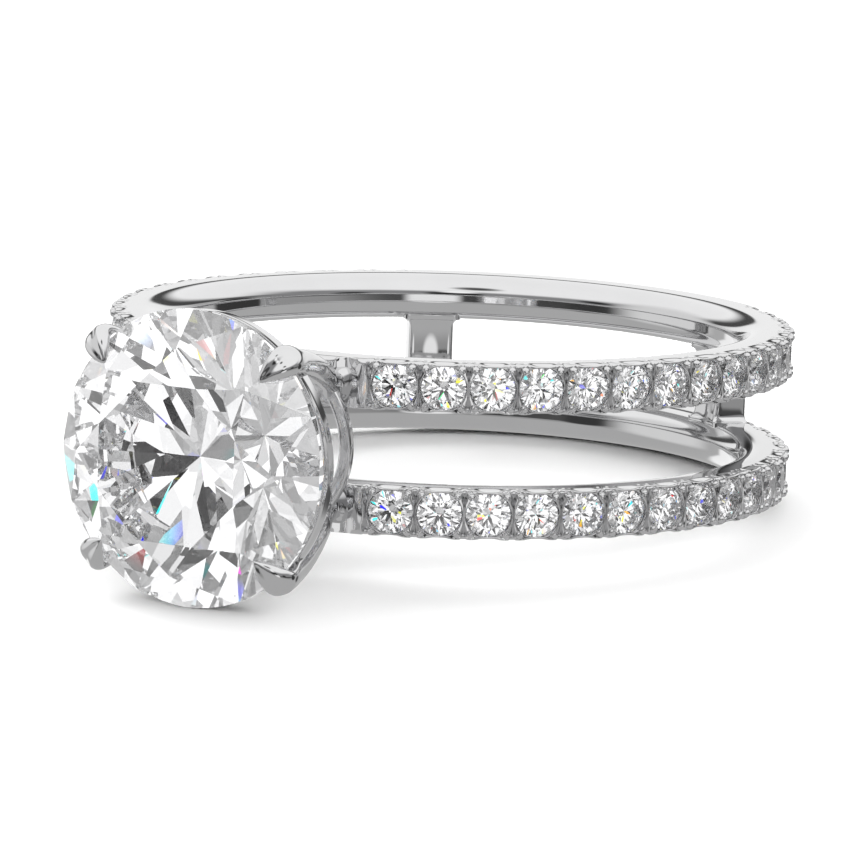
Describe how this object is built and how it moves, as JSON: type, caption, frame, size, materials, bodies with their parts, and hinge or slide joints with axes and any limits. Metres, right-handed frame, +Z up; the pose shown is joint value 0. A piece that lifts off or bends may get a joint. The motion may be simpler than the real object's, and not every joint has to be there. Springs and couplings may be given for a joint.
{
  "type": "double band ring",
  "caption": "Ring with a round brilliant held by claws over two parallel bands set with small round stones and joined at the back by plain posts.",
  "frame": {"origin": "on the surface that the ring lies on, under the middle of its bounding box", "axes": "+Z up from that surface, -Y from the finger opening towards the centre stone, +X to the right seen from the stone"},
  "size_m": [0.02, 0.0258, 0.0082],
  "materials": {
    "white_gold": "polished",
    "centre_diamond": "polished",
    "pave_diamond": "polished"
  },
  "bodies": {
    "root": {"mounting": "white_gold", "centre_stone": "centre_diamond", "upper_pave_right": "pave_diamond", "upper_pave_left": "pave_diamond", "lower_pave_right": "pave_diamond", "lower_pave_left": "pave_diamond"}
  },
  "joints": []
}
